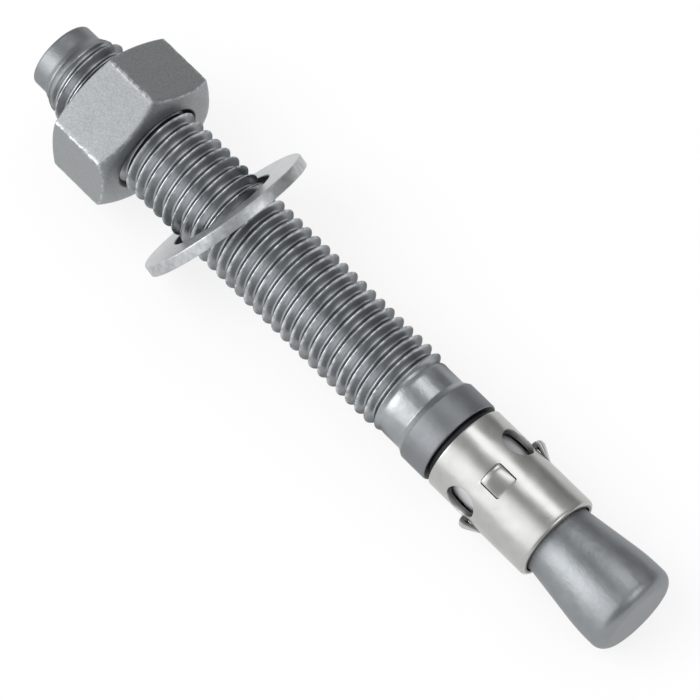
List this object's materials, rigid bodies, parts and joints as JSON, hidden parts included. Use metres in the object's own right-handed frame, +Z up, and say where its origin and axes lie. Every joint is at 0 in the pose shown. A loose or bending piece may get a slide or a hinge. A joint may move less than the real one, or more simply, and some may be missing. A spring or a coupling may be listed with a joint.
{
  "type": "wedge anchor",
  "caption": "Wedge anchor for drilled holes in concrete: threaded stud with an expander cone and split clip, washer and hex nut, lying at rest.",
  "frame": {"origin": "on the floor under the middle of the anchor's box, as it lies at rest", "axes": "+X along the anchor towards the cone end, +Y sideways, +Z up; the anchor's own axis dips 3.55 degrees towards the cone end"},
  "size_m": [0.1592, 0.0364, 0.0345],
  "materials": {
    "zinc_plated_stud": "satin zinc plating",
    "stainless_clip": "smooth rolled stainless sheet",
    "zinc_plated_washer": "satin zinc plating",
    "zinc_plated_nut": "matt zinc plating"
  },
  "bodies": {
    "stud": {"anchor_stud": "zinc_plated_stud"},
    "clip": {"expansion_clip": "stainless_clip"},
    "washer": {"flat_washer": "zinc_plated_washer"},
    "nut": {"hex_nut": "zinc_plated_nut"}
  },
  "joints": [
    {"name": "nut_travel", "type": "slide", "parent": "stud", "child": "nut", "axis": [0.9981, 0, -0.0619], "range_m": [-0.03048, 0.01016]},
    {"name": "washer_slide", "type": "slide", "parent": "stud", "child": "washer", "axis": [0.9981, 0, -0.0619], "range_m": [0, 0.051]},
    {"name": "clip_turn", "type": "hinge", "parent": "stud", "child": "clip", "pos_m": [0.04568, 0, 0.01143], "axis": [0.9981, 0, -0.0619], "continuous": true}
  ]
}
